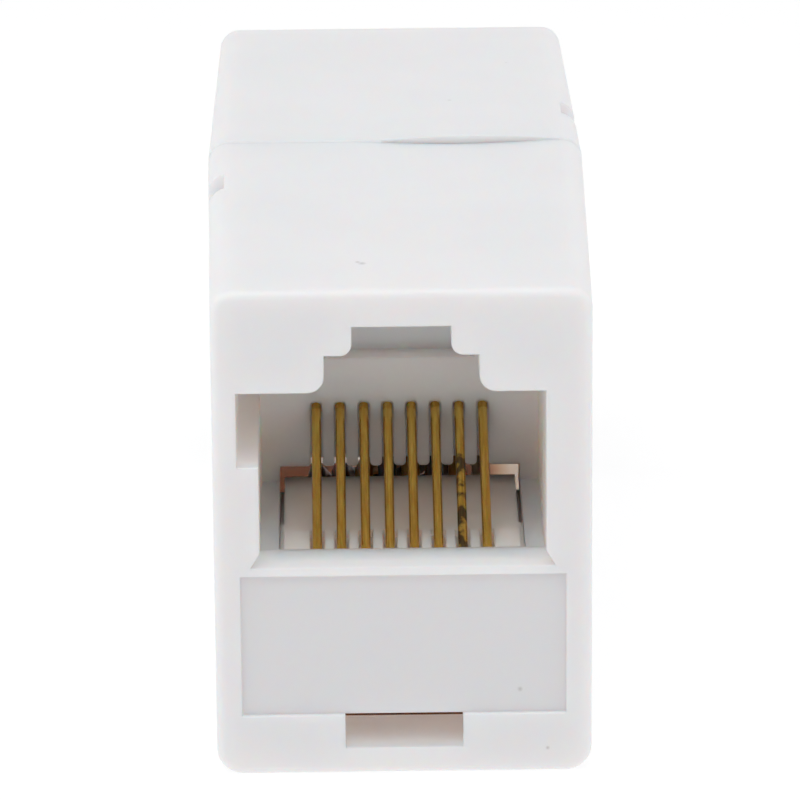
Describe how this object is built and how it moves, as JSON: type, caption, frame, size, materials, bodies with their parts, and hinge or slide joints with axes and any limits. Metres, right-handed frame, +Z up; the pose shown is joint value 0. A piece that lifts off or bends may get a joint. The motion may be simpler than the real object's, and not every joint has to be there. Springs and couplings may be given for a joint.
{
  "type": "inline coupler",
  "caption": "Female-to-female inline coupler for eight-way modular network plugs: two snapped half shells, a sprung contact set behind each latched port",
  "frame": {"origin": "centre of the flat underside, midway between the two ports", "axes": "+Y runs from the front port to the rear port, +X to the right seen from the front port, +Z up with the latch notches at the top"},
  "size_m": [0.0162, 0.038, 0.022],
  "materials": {
    "shell_plastic": "satin white ABS",
    "carrier_plastic": "satin white",
    "gold_wire": "gold plated",
    "insulation_white": "smooth PVC",
    "insulation_orange": "smooth PVC",
    "insulation_blue": "smooth PVC",
    "insulation_yellow": "smooth PVC",
    "insulation_black": "smooth PVC",
    "insulation_red": "smooth PVC",
    "insulation_green": "smooth PVC",
    "insulation_brown": "smooth PVC"
  },
  "bodies": {
    "root": {"front_shell": "shell_plastic", "rear_shell": "shell_plastic", "front_carrier": "carrier_plastic", "rear_carrier": "carrier_plastic", "front_contact_1": "gold_wire", "front_contact_2": "gold_wire", "front_contact_3": "gold_wire", "front_contact_4": "gold_wire", "front_contact_5": "gold_wire", "front_contact_6": "gold_wire", "front_contact_7": "gold_wire", "front_contact_8": "gold_wire", "rear_contact_1": "gold_wire", "rear_contact_2": "gold_wire", "rear_contact_3": "gold_wire", "rear_contact_4": "gold_wire", "rear_contact_5": "gold_wire", "rear_contact_6": "gold_wire", "rear_contact_7": "gold_wire", "rear_contact_8": "gold_wire", "jumper_wire_1": "insulation_white", "jumper_wire_2": "insulation_orange", "jumper_wire_3": "insulation_blue", "jumper_wire_4": "insulation_yellow", "jumper_wire_5": "insulation_black", "jumper_wire_6": "insulation_red", "jumper_wire_7": "insulation_green", "jumper_wire_8": "insulation_brown"}
  },
  "joints": []
}
